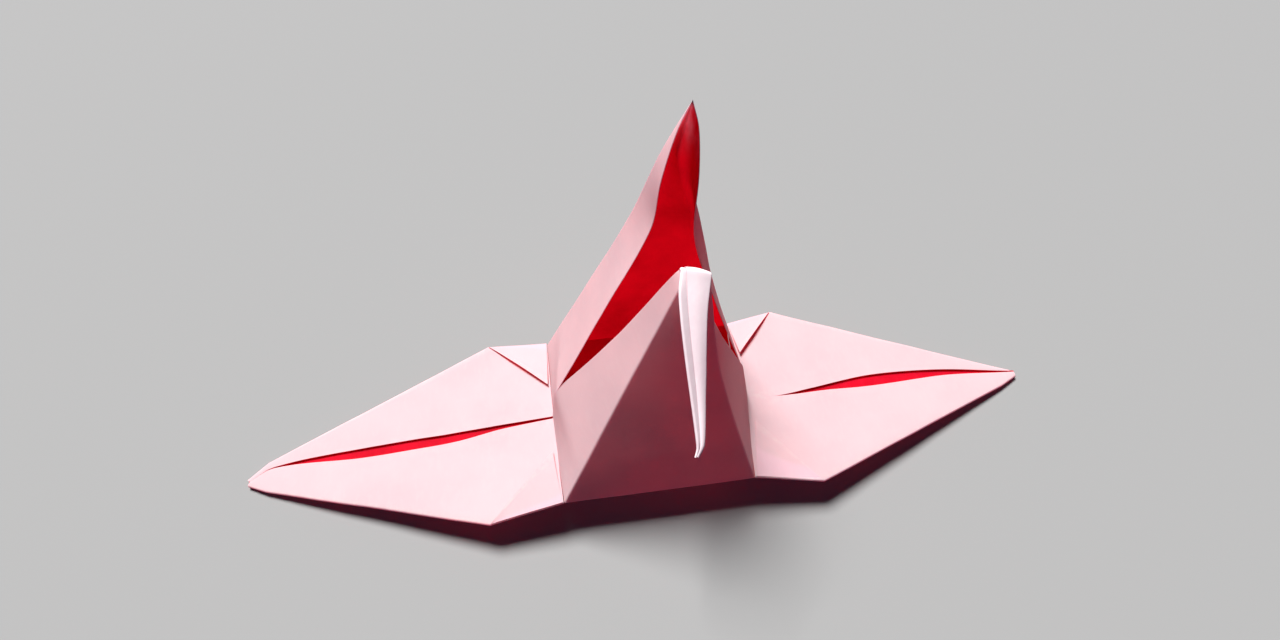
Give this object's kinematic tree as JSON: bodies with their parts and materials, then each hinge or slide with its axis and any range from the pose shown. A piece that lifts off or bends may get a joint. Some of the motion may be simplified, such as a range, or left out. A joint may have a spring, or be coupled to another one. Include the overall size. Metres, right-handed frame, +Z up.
{
  "type": "origami crane",
  "caption": "Open-bodied origami crane folded from one square sheet, with spread flat wings, upright neck and tail, and a narrow beak folded forward.",
  "frame": {"origin": "centre of the flat square under the belly, on the table", "axes": "+X along the wings towards the right wing, -Y towards the beak, +Z up"},
  "size_m": [0.2002, 0.0577, 0.088],
  "materials": {
    "paper": "matte uncoated paper, pink outside and red inside"
  },
  "bodies": {
    "root": {"paper_crane": "paper"}
  },
  "joints": []
}
